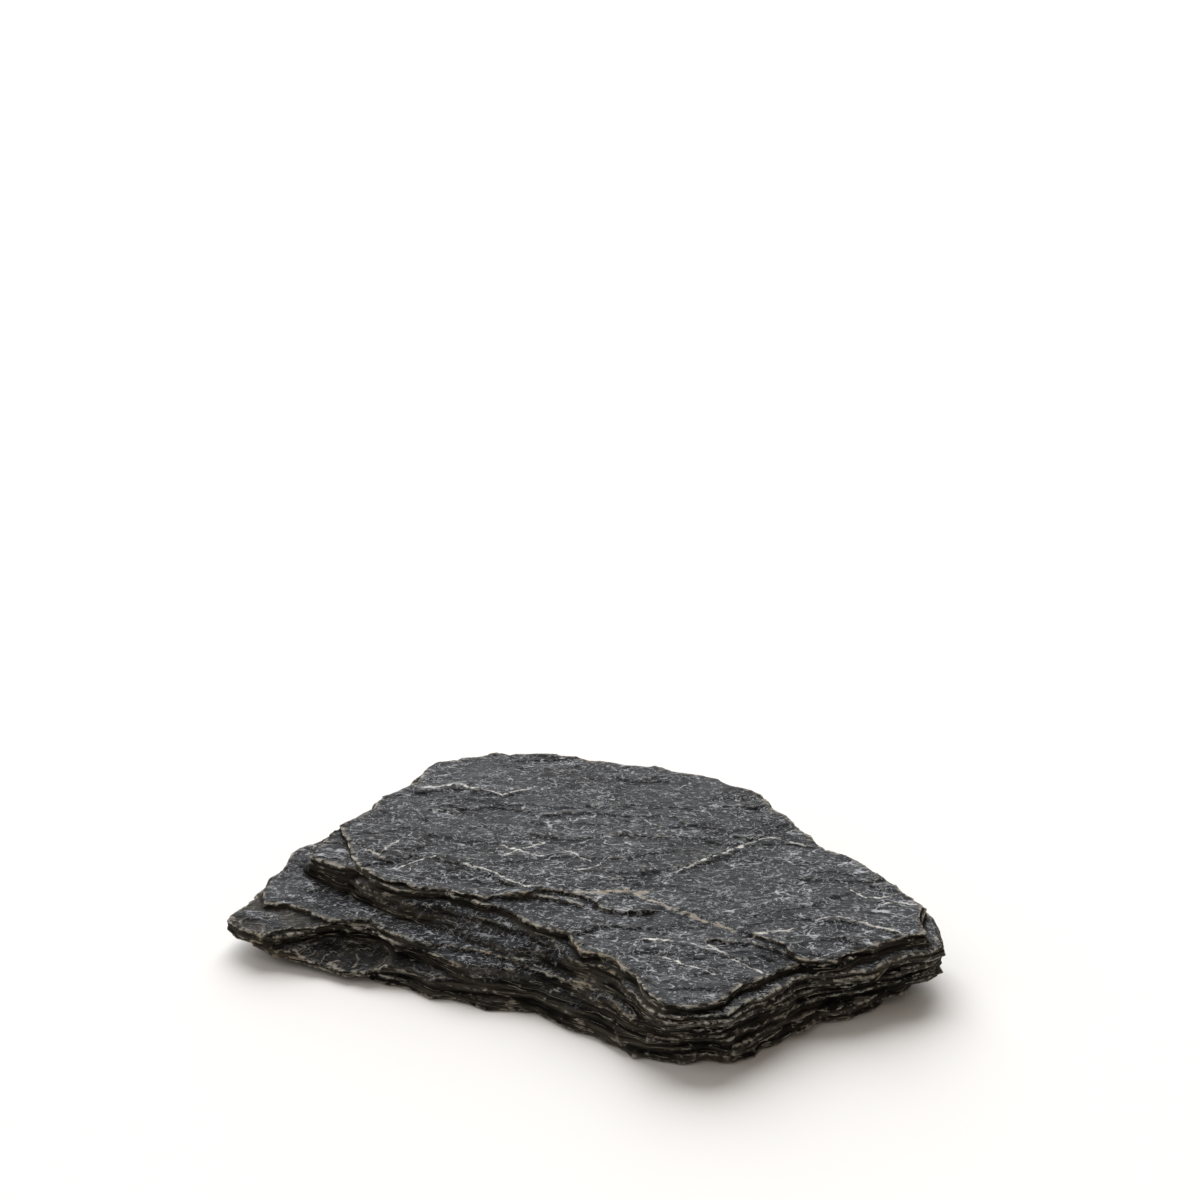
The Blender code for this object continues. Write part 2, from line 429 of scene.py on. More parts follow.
@dataclass
class SlateSlab:
    """The slab itself: the frame's solid, opened along its beds, chipped and worn.

    Attributes:
        detail: How many times the slab's length is halved for the grid that is worked on.
        last_grid: The grid of the surface that the finished mesh is thinned from.
        triangles: How many triangles the finished slab has.
        beds: The scales of bedding in the broken edge, from the thickest.
        bed_top: The height up to which there are beds.
        bed_waves: How the beds rise and dip inside the stone.
        parted: Where the beds part well.
        parted_edge: The values of these waves at which the beds start to part and part fully.
        least_parted: How much they part elsewhere, from 0 to 1.
        worn_beds: How much of the beds wear hides, from 0 to 1.
        stand_out: How far the broken edge stands out past the solid's.
        lie_back: How far any place of it lies back at most.
        chip: How far a chip in the broken edge stands out or lies back.
        chip_size: How wide a chip is.
        flakes: The largest flakes on the upper split face.
        flake_steps: The heights of the thin flakes all over the split faces, from the widest flakes.
        swells: How the split faces rise and dip.
        steps: Where steps have worn down to slopes.
        wall: The sideways share of a normal at which a face starts to be, and is, a broken wall.
        upper_face: The heights at which the upper split face starts and is reached.
        wobble: How the edges of the flakes wander.
        widest_flake: The size of the widest of the thin flakes along X, Y and Z.
        next_flake: The size of each next kind of them, as a share of the one before.
        marks: The rims and hollows that the material shows, the rims with a painted highlight and the hollows
            with painted shade.
        around: How many rounds of smoothing tell which way a place faces on the whole.
        split_around: How level a place is on the whole where a split face starts and is full.
        split_here: How level the face itself is there.
        foot: The band of heights at which the foot of the slab is coloured like the darker broken edge,
            partly as painted shade under its overhanging ledges.
        foot_share: How much of that colour the foot takes.
        crease: The angle above which an edge of the mesh stays sharp, in degrees.
        seed: Which chances are drawn.
    """

    detail: int = 9
    last_grid: float = 0.38
    triangles: int = 196_000
    beds: tuple[Beds, ...] = (
        Beds(2.6, 4.8, 1.3, 36.0, 0.8),
        Beds(0.9, 1.9, 0.42, 19.0, 0.45),
    )
    bed_top: float = 24.0
    bed_waves: tuple[Waves, ...] = (Waves(0.75, (46, 30, 60)), Waves(0.12, (6, 6, 60), 2))
    parted: Waves = Waves(1.0, (26, 26, 9))
    parted_edge: tuple[float, float] = (-0.3, 0.4)
    least_parted: float = 0.15
    worn_beds: float = 0.75
    stand_out: float = 0.3
    lie_back: float = 0.5
    chip: float = 0.2
    chip_size: float = 5.0
    flakes: tuple[Flake, ...] = FLAKES
    flake_steps: tuple[float, ...] = (0.5, 0.4, 0.3)
    swells: tuple[Waves, ...] = (Waves(0.45, (58, 36, 60), 2), Waves(0.08, (7, 4, 60), 3))
    steps: WornSteps = WornSteps()
    wall: tuple[float, float] = (0.3, 0.7)
    upper_face: tuple[float, float] = (17.5, 18.5)
    wobble: Waves = Waves(0.9, (4, 4, 60), 2)
    widest_flake: tuple[float, float, float] = (70.0, 32.0, 60.0)
    next_flake: float = 0.65
    marks: tuple[Mark, ...] = (Mark("highlit_bruised_rim", 5, 1.0, (0.055, 0.15)), Mark("hollow", 24, -1.0, (0.1, 0.5)))
    around: int = 24
    split_around: tuple[float, float] = (0.62, 0.9)
    split_here: tuple[float, float] = (0.25, 0.5)
    foot: tuple[float, float, float, float] = (0.6, 1.2, 9.8, 10.8)
    foot_share: float = 0.75
    crease: float = 35.0
    seed: int = 5
    item: bpy.types.Object | None = field(default=None, init=False)
    chance: StoneChance | None = field(default=None, init=False)

    def copy_solid(self, node: bpy.types.Object) -> None:
        """Copies the frame's solid and merges its loose triangles.

        Args:
            node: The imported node.
        """
        self.item = bpy.data.objects.new("riven_slate_slab", node.data.copy())
        bpy.context.scene.collection.objects.link(self.item)
        self.item.data.materials.clear()
        select_only(self.item)
        bpy.ops.object.mode_set(mode="EDIT")
        bpy.ops.mesh.select_all(action="SELECT")
        bpy.ops.mesh.remove_doubles(threshold=0.01 * MM)
        bpy.ops.object.mode_set(mode="OBJECT")

    def lay_grid(self, **grid: object) -> None:
        """Lays an even grid of faces over the whole slab.

        Args:
            **grid: The properties of the Remesh modifier.
        """
        apply_modifier(self.item, "REMESH", **grid)
        log.info("the surface has %d faces", len(self.item.data.polygons))

    def read(self) -> tuple[np.ndarray, np.ndarray]:
        """Reads the slab's points.

        Returns:
            The points in millimetres and their normals, one row each.
        """
        count = len(self.item.data.vertices)
        points = np.empty(count * 3)
        normals = np.empty(count * 3)
        self.item.data.vertices.foreach_get("co", points)
        self.item.data.vertices.foreach_get("normal", normals)
        return points.reshape(-1, 3) / MM, normals.reshape(-1, 3)

    def write(self, points: np.ndarray) -> None:
        """Puts the slab's points at new places, none of them below the ground.

        Args:
            points: The places in millimetres, one row each.
        """
        points[:, 2] = np.maximum(points[:, 2], 0.0)
        self.item.data.vertices.foreach_set("co", (points * MM).ravel())
        self.item.data.update()

    def smoothed(self, points: np.ndarray, weight: np.ndarray | float, rounds: int) -> np.ndarray:
        """Draws every point towards the middle of its neighbours, again and again.

        Args:
            points: The places in millimetres, one row each.
            weight: How far a point goes, from 0 to 1.
            rounds: How often.

        Returns:
            The new places.
        """
        mesh = self.item.data
        ends = np.empty(len(mesh.edges) * 2, np.int32)
        mesh.edges.foreach_get("vertices", ends)
        first, second = ends.reshape(-1, 2).T
        degree = np.maximum(np.bincount(ends, minlength=len(points)), 1)
        points = points.copy()
        for _ in range(rounds):
            around = np.stack([
                np.bincount(first, points[second, axis], len(points))
                + np.bincount(second, points[first, axis], len(points))
                for axis in range(3)
            ], axis=1) / degree[:, None]
            points += weight * (around - points)
        return points

    def wear_slopes(self) -> None:
        """Wears the steps between some ledges down to slopes."""
        points, _ = self.read()
        weight = self.steps.strength * self.steps.amount(points)[:, None]
        self.write(self.smoothed(points, weight, self.steps.rounds))

    def open_beds(self) -> None:
        """Moves the broken edge in and out bed by bed, as slate parts."""
        points, normals = self.read()
        sideways = np.hypot(normals[:, 0], normals[:, 1])
        outward = normals[:, :2] / np.maximum(sideways, 1e-6)[:, None]
        wall = rise(*self.wall, sideways)
        depth = points[:, 2].copy()
        for waves in self.bed_waves:
            depth += waves.at(points, self.chance)
        parted = rise(*self.parted_edge, self.parted.at(points + 71.0, self.chance))
        laminated = self.least_parted + (1.0 - self.least_parted) * parted
        laminated *= 1.0 - self.worn_beds * self.steps.amount(points)
        shift = np.full(len(points), self.stand_out)
        for number, beds in enumerate(self.beds):
            floors = beds.floors(self.bed_top, self.seed + number)
            level = np.clip(np.searchsorted(floors, depth) - 1, 0, len(floors) - 2)
            height = np.clip((depth - floors[level]) / np.diff(floors)[level], 0.0, 1.0)
            # Each bed has a height of its own in the tables of chance, far from the next bed's
            spots = points.copy()
            spots[:, 2] = level * beds.run * 7.7
            place, tilt = self.chance.chips(spots, (beds.run,) * 3)
            stands = 0.4 * self.chance.waves(spots, (beds.run,) * 3, 3) + 0.35 * place + 0.9 * tilt
            shift += laminated * (beds.reach * stands - beds.undercut * (1.0 - height) ** 2)
        spots[:, 2] = level * 41.0
        place, tilt = self.chance.chips(spots, (self.chip_size,) * 3)
        shift += self.chip * (0.6 * place + 0.9 * tilt)
        points[:, :2] += outward * (np.maximum(shift, -self.lie_back) * wall)[:, None]
        self.write(points)

    def lay_flakes(self) -> None:
        """Lays thin flakes and low waves on the split faces, and leaves the underside flat."""
        points, _ = self.read()
        flat = points * (1.0, 1.0, 0.0)
        lift = np.zeros(len(flat))
        for waves in self.swells:
            lift += waves.at(flat, self.chance)
        ragged = flat + np.stack([
            self.wobble.at(flat + 11.0, self.chance),
            self.wobble.at(flat + 29.0, self.chance),
            np.zeros(len(flat)),
        ], axis=1)
        for number, step in enumerate(self.flake_steps):
            size = np.array(self.widest_flake) * self.next_flake ** number
            edge = self.chance.waves(ragged + 131.0 * (number + 1), size, 3)
            lift += step * rise(-0.015, 0.015, edge) - 0.5 * step
        upper = rise(*self.upper_face, points[:, 2])
        for flake in self.flakes:
            lift += upper * flake.lift(ragged[:, :2])
        points[:, 2] += lift * rise(0.5, 7.0, points[:, 2])
        self.write(points)

    def mark_broken_rims_and_hollows(self) -> None:
        """Marks the broken edge, the rims that stand proud of it, and the hollows between them, for the
        painted highlight on the rims and the painted shade in the hollows.
        """
        points, normals = self.read()
        facing = self.smoothed(normals, 1.0, self.around)[:, 2]
        level = rise(*self.split_around, np.abs(facing)) * rise(*self.split_here, np.abs(normals[:, 2]))
        # The foot takes the broken edge's darker colour, partly as painted shade under the overhangs
        foot = self.foot_share * band(self.foot, points[:, 2])
        values_by_name = {"broken": np.maximum(1.0 - level, foot)}
        # The rims get a painted highlight in the material, and the hollows painted shade
        for mark in self.marks:
            proud = np.einsum("ij,ij->i", points - self.smoothed(points, 1.0, mark.rounds), normals)
            values_by_name[mark.name] = rise(*mark.edge, mark.way * proud)
        for name, values in values_by_name.items():
            attribute = self.item.data.attributes.new(name, "FLOAT", "POINT")
            attribute.data.foreach_set("value", values.astype(np.float32))

    def thin(self) -> None:
        """Thins the mesh where it is flat, down to the wanted number of triangles."""
        apply_modifier(self.item, "TRIANGULATE")
        share = self.triangles / len(self.item.data.polygons)
        if share < 1.0:
            apply_modifier(self.item, "DECIMATE", ratio=share)
        select_only(self.item)
        bpy.ops.object.shade_smooth_by_angle(angle=math.radians(self.crease))

    def build(self, node: bpy.types.Object) -> bpy.types.Object:
        """Builds the finished slab from the frame's solid.

        Args:
            node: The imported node.

        Returns:
            The finished piece.
        """
        self.chance = StoneChance(self.seed)
        self.copy_solid(node)
        self.lay_grid(mode="SHARP", octree_depth=self.detail, scale=0.95, sharpness=1.0)
        self.wear_slopes()
        self.open_beds()
        self.lay_flakes()
        self.lay_grid(mode="VOXEL", voxel_size=self.last_grid * MM)
        self.mark_broken_rims_and_hollows()
        self.thin()
        self.write(self.read()[0])
        return self.item


@dataclass(frozen=True)
class Vein:
    """A pale healed crack in a split face, seen from above.

    Attributes:
        line: The few points that its bends need, from left to right.
        width: How wide it is where it is widest, without its fading sides.
        rust: How much of it iron has stained, from 0 to 1.
        gone: The wear noise at and below which it is worn away.
        whole: The wear noise at and above which it has its full width.
        taper: How much of its length each end tapers over, as a share.
    """

    line: tuple[tuple[float, float], ...]
    width: float = 0.5
    rust: float = 0.0
    gone: float = 0.38
    whole: float = 0.6
    taper: float = 0.04

    def mask(self, tree: bpy.types.NodeTree, spot: bpy.types.NodeSocket,
             wear: bpy.types.NodeSocket) -> bpy.types.NodeSocket:
        """Draws the vein.

        Args:
            tree: The node tree that gets the vein.
            spot: Object coordinates, made to wander.
            wear: Noise around 0.5 that thins and breaks the vein.

        Returns:
            1 in the middle of the vein and 0 beside it.
        """
        left, right = self.line[0][0], self.line[-1][0]
        low = min(y for _, y in self.line)
        high = max(y for _, y in self.line)
        axes = add_node(tree, "ShaderNodeSeparateXYZ", {}, {0: spot})
        along = add_node(tree, "ShaderNodeMapRange", {"From Min": left * MM, "From Max": right * MM},
                         {"Value": axes.outputs["X"]})
        curve = add_node(tree, "ShaderNodeFloatCurve", {}, {"Value": along.outputs["Result"]})
        points = curve.mapping.curves[0].points
        shares = [((x - left) / (right - left), (y - low) / (high - low)) for x, y in self.line]
        points[0].location, points[1].location = shares[0], shares[-1]
        for share in shares[1:-1]:
            points.new(*share)
        for point in points:
            point.handle_type = "VECTOR"
        curve.mapping.update()
        middle = add_node(tree, "ShaderNodeMapRange", {"To Min": low * MM, "To Max": high * MM},
                          {"Value": curve.outputs["Value"]})
        gap = add_node(tree, "ShaderNodeMath", {"operation": "SUBTRACT"},
                       {0: axes.outputs["Y"], 1: middle.outputs["Result"]})
        away = add_node(tree, "ShaderNodeMath", {"operation": "ABSOLUTE"}, {0: gap.outputs[0]})
        # Its sides fade, and it keeps a reach above 0 because the gap is divided by it
        reach = add_node(tree, "ShaderNodeMapRange",
                         {"From Min": self.gone, "From Max": self.whole, "To Min": 0.02 * MM,
                          "To Max": 1.4 * self.width * MM}, {"Value": wear})
        share = add_node(tree, "ShaderNodeMath", {"operation": "DIVIDE", "use_clamp": True},
                         {0: away.outputs[0], 1: reach.outputs["Result"]})
        ends = add_node(tree, "ShaderNodeMath", {"operation": "PINGPONG", 1: 0.5},
                        {0: along.outputs["Result"]})
        taper = add_node(tree, "ShaderNodeMapRange", {"From Max": self.taper}, {"Value": ends.outputs[0]})
        inside = add_node(tree, "ShaderNodeMath", {"operation": "SUBTRACT", 0: 1.0}, {1: share.outputs[0]})
        return add_node(tree, "ShaderNodeMath", {"operation": "MULTIPLY"},
                        {0: inside.outputs[0], 1: taper.outputs["Result"]}).outputs[0]


VEINS = (
    Vein(((-57, 57), (-44, 60), (-28, 50), (-16, 57)), 0.7),
    Vein(((-73, 11), (-67, 8), (-60, 20)), 0.8, 0.4),
    Vein(((-61, -1), (-55, 4), (-48, 7)), 0.7),
    Vein(((-40, 2), (-34, -1), (-16, -15)), 0.8),
    Vein(((-28, 16), (-14, 7), (-3, 12)), 0.7),
    Vein(((-27, 6), (-20, 13), (-12, 17)), 0.6),
    Vein(((-7, 13), (3, 4)), 0.7),
    Vein(((-3, -2), (4, 0), (10, 7)), 0.6),
    Vein(((-3, -17), (22, -14)), 1.5, 1.0),
    Vein(((12, -11), (27, -24), (50, -40)), 1.3, 0.9),
    Vein(((30, -3), (41, 6), (62, 22), (77, 16)), 0.8),
    Vein(((86, -11), (92, -18), (103, -16)), 0.7),
    Vein(((94, -24), (101, -21), (108, -23)), 0.6),
    Vein(((74, -34), (81, -31), (103, -44)), 0.9),
    Vein(((52, -44), (69, -38)), 0.8, 0.3),
    Vein(((19, -43), (31, -46), (39, -50)), 0.7),
    Vein(((38, -45), (48, -56), (59, -64)), 0.8, 0.3),
    Vein(((25, -54), (42, -65)), 0.6),
)


@dataclass(frozen=True)
class Strokes:
    """One length of fine strokes: the middle lines of stretched noise, broken into pieces.

    Attributes:
        size: The size of the noise along X, Y and Z.
        line: How far from its middle value the noise still draws.
        piece: How long a piece is.
        kept: The value of a second noise above which a piece stays.
    """

    size: tuple[float, float, float]
    line: float
    piece: float
    kept: float


@dataclass(frozen=True)
class RivenSlate:
    """Riven slate: fine-grained stone that splits in flat beds.

    Split faces are blue-grey with a satin sheen, and carry pale hair-fine flecks and thin veins. Broken
    faces run across the beds and are darker, browner and duller, with a fine stripe for every bed.

    Attributes:
        split_dark: The darkest ground of a split face.
        split_light: The lightest ground of a split face.
        fleck: The pale flecks.
        vein: The veins.
        rust: The iron stain beside some veins and rims.
        highlit_bruised_rim: The pale rims: a painted highlight where edges catch the light, partly pale
            bruising of the stone.
        broken_dark: The darkest stripe of a broken face.
        broken_light: The lightest stripe of a broken face.
        broken_line: The pale hairlines between the beds.
        veins: The largest veins.
        fine: The hair-fine flecks, which lie everywhere.
        fine_strength: How strongly they show, from 0 to 1.
        patched: The longer flecks, which lie in patches.
        hairlines: The pale lines between some of the beds.
        wander: How far the patterns wander along X, Y and Z.
        painted_hollow_shade: How much darker the painted shade makes a hollow, from 0 to 1.
        split_roughness: The roughness of a split face.
        broken_roughness: The roughness of a broken face.
        gleam: The specular level, low because slate barely gleams.
        relief: How high the fine relief stands.
    """

    split_dark: str = "#0b0c0e"
    split_light: str = "#43464b"
    fleck: str = "#a9acb1"
    vein: str = "#e0dfdb"
    rust: str = "#9a8a72"
    highlit_bruised_rim: str = "#b0aca2"
    broken_dark: str = "#0f0e0d"
    broken_light: str = "#4a463f"
    broken_line: str = "#8f8a7e"
    veins: tuple[Vein, ...] = VEINS
    fine: Strokes = Strokes((3.4, 1.5, 1.6), 0.034, 1.6, 0.48)
    fine_strength: float = 0.7
    patched: tuple[Strokes, ...] = (
        Strokes((9.0, 4.4, 4.0), 0.016, 2.8, 0.46),
        Strokes((24.0, 11.0, 9.0), 0.008, 7.0, 0.44),
    )
    hairlines: Strokes = Strokes((22.0, 22.0, 1.5), 0.018, 5.0, 0.5)
    wander: tuple[float, float, float] = (4.0, 4.0, 0.5)
    painted_hollow_shade: float = 0.6
    split_roughness: float = 0.55
    broken_roughness: float = 0.8
    gleam: float = 0.04
    relief: float = 0.5

    def noise(self, tree: bpy.types.NodeTree, spot: bpy.types.NodeSocket,
              size: tuple[float, float, float], detail: float = 4.0,
              roughness: float = 0.6) -> bpy.types.Node:
        """Stretches noise over the stone.

        Args:
            tree: The node tree that gets it.
            spot: The coordinates that it reads.
            size: Its size along X, Y and Z in millimetres.
            detail: How many layers it has.
            roughness: How strong the finer layers are.

        Returns:
            The noise node.
        """
        place = add_node(tree, "ShaderNodeMapping",
                         {"vector_type": "TEXTURE", "Scale": tuple(length * MM for length in size)},
                         {"Vector": spot})
        return add_node(tree, "ShaderNodeTexNoise",
                        {"Scale": 1.0, "Detail": detail, "Roughness": roughness},
                        {"Vector": place.outputs["Vector"]})

    def patches(self, tree: bpy.types.NodeTree, spot: bpy.types.NodeSocket,
                size: tuple[float, float, float], edge: tuple[float, float],
                detail: float = 4.0) -> bpy.types.NodeSocket:
        """Draws patches with soft edges, by chance.

        Args:
            tree: The node tree that gets them.
            spot: The coordinates that they follow.
            size: Their size along X, Y and Z in millimetres.
            edge: The values of the noise at which a patch starts and is full.
            detail: How ragged they are.

        Returns:
            1 in a patch and 0 beside it.
        """
        value = self.noise(tree, spot, size, detail).outputs["Fac"]
        return add_node(tree, "ShaderNodeMapRange", {**SMOOTH_STEP, "From Min": edge[0], "From Max": edge[1]},
                        {"Value": value}).outputs["Result"]

    def strongest(self, tree: bpy.types.NodeTree,
                  masks: list[bpy.types.NodeSocket]) -> bpy.types.NodeSocket:
        """Lays any number of masks over each other and keeps the strongest at each place.

        Args:
            tree: The node tree that gets the nodes.
            masks: The masks.

        Returns:
            The mask of them all.
        """
        result = masks[0]
        for mask in masks[1:]:
            result = add_node(tree, "ShaderNodeMath", {"operation": "MAXIMUM"},
                              {0: result, 1: mask}).outputs[0]
        return result

    def strokes(self, tree: bpy.types.NodeTree, spot: bpy.types.NodeSocket,
                kind: Strokes) -> bpy.types.NodeSocket:
        """Draws fine strokes.

        Args:
            tree: The node tree that gets them.
            spot: The coordinates that they follow.
            kind: Which strokes.

        Returns:
            1 on a stroke and 0 beside it.
        """
        lines = self.noise(tree, spot, kind.size, 2.0, 0.5)
        off = add_node(tree, "ShaderNodeMath", {"operation": "SUBTRACT", 1: 0.5}, {0: lines.outputs["Fac"]})
        off = add_node(tree, "ShaderNodeMath", {"operation": "ABSOLUTE"}, {0: off.outputs[0]})
        stroke = add_node(tree, "ShaderNodeMapRange",
                          {**SMOOTH_STEP, "From Min": kind.line, "From Max": 0.3 * kind.line},
                          {"Value": off.outputs[0]})
        stays = self.patches(tree, spot, (kind.piece,) * 3, (kind.kept - 0.05, kind.kept + 0.05), 3.0)
        return add_node(tree, "ShaderNodeMath", {"operation": "MULTIPLY"},
                        {0: stroke.outputs["Result"], 1: stays}).outputs[0]

    def flecks(self, tree: bpy.types.NodeTree, spot: bpy.types.NodeSocket,
               wandered: bpy.types.NodeSocket) -> bpy.types.NodeSocket:
        """Draws the flecks: hair-fine ones and specks everywhere, and longer ones in patches.

        Args:
            tree: The node tree that gets the nodes.
            spot: Object coordinates.
            wandered: Object coordinates, made to wander.

        Returns:
            1 on a fleck and 0 beside it.
        """
        fine = add_node(tree, "ShaderNodeMath", {"operation": "MULTIPLY", 1: self.fine_strength},
                        {0: self.strokes(tree, wandered, self.fine)}).outputs[0]
        longer = self.strongest(tree, [self.strokes(tree, wandered, kind) for kind in self.patched])
        where = self.patches(tree, spot, (16.0, 11.0, 12.0), (0.38, 0.54))
        longer = add_node(tree, "ShaderNodeMath", {"operation": "MULTIPLY"},
                          {0: longer, 1: where}).outputs[0]
        specks = self.patches(tree, spot, (1.2, 1.2, 1.2), (0.74, 0.78), 1.0)
        return self.strongest(tree, [fine, longer, specks])

    def split_face(self, tree: bpy.types.NodeTree, spot: bpy.types.NodeSocket,
                   wandered: bpy.types.NodeSocket,
                   mottle: bpy.types.NodeSocket) -> tuple[bpy.types.NodeSocket, bpy.types.NodeSocket]:
        """Dresses the split faces.

        Args:
            tree: The node tree that gets the nodes.
            spot: Object coordinates.
            wandered: Object coordinates, made to wander.
            mottle: Noise about 8 mm across.

        Returns:
            Their colour, and the mask of all that stands up from them.
        """
        # The ground: clouds 30 mm and 8 mm across over a grain of 2 mm by 1 mm
        clouds = self.noise(tree, spot, (38.0, 24.0, 30.0), 3.0)
        grain = self.noise(tree, wandered, (2.2, 1.2, 1.2))
        tone = add_node(tree, "ShaderNodeMath", {"operation": "MULTIPLY_ADD", 1: 0.6},
                        {0: clouds.outputs["Fac"], 2: mottle})
        tone = add_node(tree, "ShaderNodeMath", {"operation": "MULTIPLY_ADD", 1: 0.7},
                        {0: grain.outputs["Fac"], 2: tone.outputs[0]})
        tone = add_node(tree, "ShaderNodeMapRange", {**SMOOTH_STEP, "From Min": 0.95, "From Max": 1.5},
                        {"Value": tone.outputs[0]})
        ground = add_node(tree, "ShaderNodeMix",
                          {"data_type": "RGBA", UNDER: linear(self.split_dark),
                           OVER: linear(self.split_light)}, {SHARE: tone.outputs["Result"]})
        flecks = self.flecks(tree, spot, wandered)
        flecked = add_node(tree, "ShaderNodeMix", {"data_type": "RGBA", OVER: linear(self.fleck)},
                           {SHARE: flecks, UNDER: ground.outputs[MIXED]})

        # Veins, broken every few millimetres and roughened by the grain
        wear = self.noise(tree, spot, (3.0, 2.4, 3.0), 5.0, 0.7).outputs["Fac"]
        masks = [vein.mask(tree, wandered, wear) for vein in self.veins]
        stains = []
        for vein, mask in zip(self.veins, masks):
            if vein.rust > 0.0:
                stains.append(add_node(tree, "ShaderNodeMath", {"operation": "MULTIPLY", 1: vein.rust},
                                       {0: mask}).outputs[0])
        rough = add_node(tree, "ShaderNodeMapRange", {**SMOOTH_STEP, "From Min": 0.34, "From Max": 0.52},
                         {"Value": grain.outputs["Fac"]})
        veins = add_node(tree, "ShaderNodeMath", {"operation": "MULTIPLY"},
                         {0: self.strongest(tree, masks), 1: rough.outputs["Result"]}).outputs[0]
        vein_colour = add_node(tree, "ShaderNodeMix",
                               {"data_type": "RGBA", UNDER: linear(self.vein), OVER: linear(self.rust)},
                               {SHARE: self.strongest(tree, stains)})
        colour = add_node(tree, "ShaderNodeMix", {"data_type": "RGBA"},
                          {SHARE: veins, UNDER: flecked.outputs[MIXED], OVER: vein_colour.outputs[MIXED]})
        return colour.outputs[MIXED], self.strongest(tree, [flecks, veins])

    def broken_face(self, tree: bpy.types.NodeTree,
                    wandered: bpy.types.NodeSocket) -> tuple[bpy.types.NodeSocket, bpy.types.NodeSocket]:
        """Dresses the broken faces.

        Args:
            tree: The node tree that gets the nodes.
            wandered: Object coordinates, made to wander.

        Returns:
            Their colour, and the height of their stripes.
        """
        # Stripes for beds about 1 mm thick
        stripes = self.noise(tree, wandered, (22.0, 22.0, 1.3), 5.0, 0.7).outputs["Fac"]
        light = add_node(tree, "ShaderNodeMapRange", {**SMOOTH_STEP, "From Min": 0.38, "From Max": 0.68},
                         {"Value": stripes})
        ground = add_node(tree, "ShaderNodeMix",
                          {"data_type": "RGBA", UNDER: linear(self.broken_dark),
                           OVER: linear(self.broken_light)}, {SHARE: light.outputs["Result"]})
        lined = add_node(tree, "ShaderNodeMix", {"data_type": "RGBA", OVER: linear(self.broken_line)},
                         {SHARE: self.strokes(tree, wandered, self.hairlines),
                          UNDER: ground.outputs[MIXED]})
        return lined.outputs[MIXED], stripes

    def rims(self, tree: bpy.types.NodeTree, spot: bpy.types.NodeSocket, wandered: bpy.types.NodeSocket,
             highlit_bruised_rim: bpy.types.NodeSocket, broken: bpy.types.NodeSocket,
             face: bpy.types.NodeSocket) -> bpy.types.NodeSocket:
        """Paints a pale highlight on the rims, partly pale bruising of the stone, and stains them with iron
        here and there.

        Args:
            tree: The node tree that gets the nodes.
            spot: Object coordinates.
            wandered: Object coordinates, made to wander.
            highlit_bruised_rim: Where the rims are.
            broken: Where the broken faces are.
            face: The colour of the faces.

        Returns:
            The colour of the faces with their rims.
        """
        # Painted highlight: the rims turn pale in patches where edges would catch the light, partly pale
        # bruising of the stone
        rim_highlight_and_bruising = add_node(tree, "ShaderNodeMath", {"operation": "MULTIPLY"},
                           {0: highlit_bruised_rim, 1: self.patches(tree, spot, (2.2, 2.2, 1.2), (0.42, 0.6))})
        on_broken = add_node(tree, "ShaderNodeMapRange", {**SMOOTH_STEP, "From Min": 0.0, "From Max": 0.3},
                             {"Value": broken})
        stained = add_node(tree, "ShaderNodeMath", {"operation": "MULTIPLY"},
                           {0: self.patches(tree, wandered, (24.0, 24.0, 12.0), (0.5, 0.7)),
                            1: on_broken.outputs["Result"]})
        rim_colour = add_node(tree, "ShaderNodeMix",
                              {"data_type": "RGBA", UNDER: linear(self.highlit_bruised_rim), OVER: linear(self.rust)},
                              {SHARE: stained.outputs[0]})
        return add_node(tree, "ShaderNodeMix", {"data_type": "RGBA"},
                        {SHARE: rim_highlight_and_bruising.outputs[0], UNDER: face,
                         OVER: rim_colour.outputs[MIXED]}).outputs[MIXED]

    def material(self) -> bpy.types.Material:
        """Makes the material.

        Returns:
            The material, which reads object coordinates and the slab's broken, rim and hollow attributes,
            paints a highlight on the rims and paints shade in the hollows.
        """
        # Riven slate: dark satin faces with pale flecks, over a duller, striped broken edge
        made = bpy.data.materials.new("riven_slate")
        made.use_nodes = True
        tree = made.node_tree
        tree.nodes.clear()
        spot = add_node(tree, "ShaderNodeTexCoord").outputs["Object"]
        broken, highlit_bruised_rim, hollow = (add_node(tree, "ShaderNodeAttribute", {"attribute_name": name}).outputs["Fac"]
                               for name in ("broken", "highlit_bruised_rim", "hollow"))

        # Noise around 0.5 moves the patterns by up to half their wander each way
        chance = self.noise(tree, spot, (4.0, 4.0, 4.0), 5.0, 0.68)
        moved = add_node(tree, "ShaderNodeVectorMath",
                         {"operation": "MULTIPLY_ADD", 1: tuple(reach * MM for reach in self.wander),
                          2: tuple(-0.5 * reach * MM for reach in self.wander)},
                         {0: chance.outputs["Color"]})
        wandered = add_node(tree, "ShaderNodeVectorMath", {"operation": "ADD"},
                            {0: moved.outputs[0], 1: spot}).outputs[0]

        mottle = self.noise(tree, spot, (8.0, 5.0, 5.0), 6.0, 0.68).outputs["Fac"]
        split_colour, standing = self.split_face(tree, spot, wandered, mottle)
        broken_colour, stripes = self.broken_face(tree, wandered)
        face = add_node(tree, "ShaderNodeMix", {"data_type": "RGBA"},
                        {SHARE: broken, UNDER: split_colour, OVER: broken_colour})
        rimmed = self.rims(tree, spot, wandered, highlit_bruised_rim, broken, face.outputs[MIXED])
        # Painted shade: the hollows are darkened towards the darkest broken colour
        shade = add_node(tree, "ShaderNodeMath", {"operation": "MULTIPLY", 1: self.painted_hollow_shade},
                         {0: hollow})
        colour = add_node(tree, "ShaderNodeMix", {"data_type": "RGBA", OVER: linear(self.broken_dark)},
                          {SHARE: shade.outputs[0], UNDER: rimmed})

